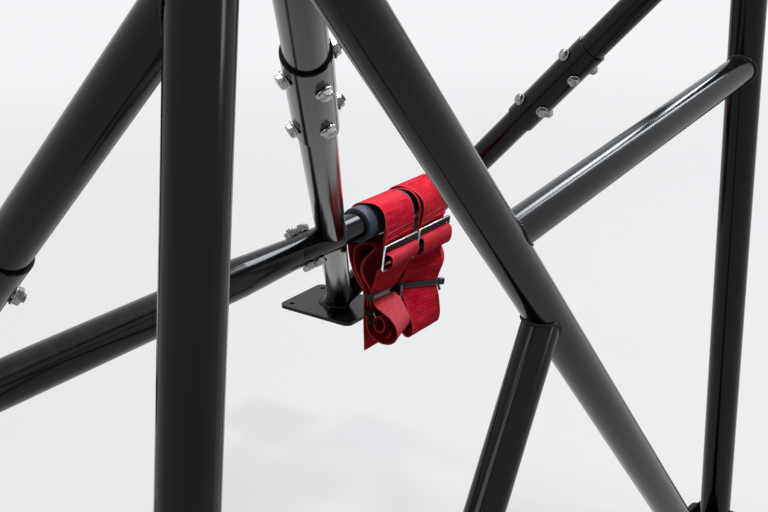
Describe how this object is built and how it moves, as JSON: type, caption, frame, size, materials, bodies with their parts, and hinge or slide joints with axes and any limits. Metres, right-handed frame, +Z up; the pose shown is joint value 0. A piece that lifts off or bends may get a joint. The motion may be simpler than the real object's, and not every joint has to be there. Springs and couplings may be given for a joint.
{
  "type": "rear roll cage with harness bar",
  "caption": "Bolt-in rear roll cage: main hoop with diagonal braces, two sleeved rear stays, and a harness bar that carries a pair of folded, tied shoulder belts.",
  "frame": {"origin": "on the floor, midway between the two hoop feet, at the centre of their four outer bolts", "axes": "+X to the car's left, +Y to the rear of the car, +Z up"},
  "size_m": [1.324, 0.8042, 1.1724],
  "materials": {
    "cage_paint": "satin black powder coat",
    "bolt_zinc": "bright zinc plate",
    "grip_rubber": "matt rubber",
    "webbing": "ribbed woven polyester webbing",
    "adjuster_steel": "black with bright worn edges",
    "tie_plastic": "glossy black nylon"
  },
  "bodies": {
    "root": {"main_hoop": "cage_paint", "hoop_diagonal": "cage_paint", "hoop_strut": "cage_paint", "hoop_cross_bar": "cage_paint", "stay_stub_left": "cage_paint", "stay_stub_right": "cage_paint", "rear_stay_left": "cage_paint", "rear_stay_right": "cage_paint", "stay_sleeve_left": "cage_paint", "stay_sleeve_right": "cage_paint", "rear_diagonal_stub": "cage_paint", "rear_diagonal": "cage_paint", "rear_diagonal_sleeve": "cage_paint", "harness_bar_long": "cage_paint", "harness_bar_lug": "cage_paint", "harness_bar_short": "cage_paint", "hoop_foot_left": "cage_paint", "hoop_foot_right": "cage_paint", "strut_foot": "cage_paint", "stay_foot_left": "cage_paint", "stay_foot_right": "cage_paint", "stay_bolts_left": "bolt_zinc", "stay_bolts_right": "bolt_zinc", "rear_diagonal_bolts": "bolt_zinc", "lap_bolts": "bolt_zinc", "bar_grip": "grip_rubber", "belt_loop_1": "webbing", "belt_loop_2": "webbing", "belt_bundle_1": "webbing", "belt_bundle_2": "webbing", "belt_adjuster_1": "adjuster_steel", "belt_adjuster_2": "adjuster_steel", "cable_tie_1": "tie_plastic", "cable_tie_2": "tie_plastic", "belt_hook": "adjuster_steel"}
  },
  "joints": []
}
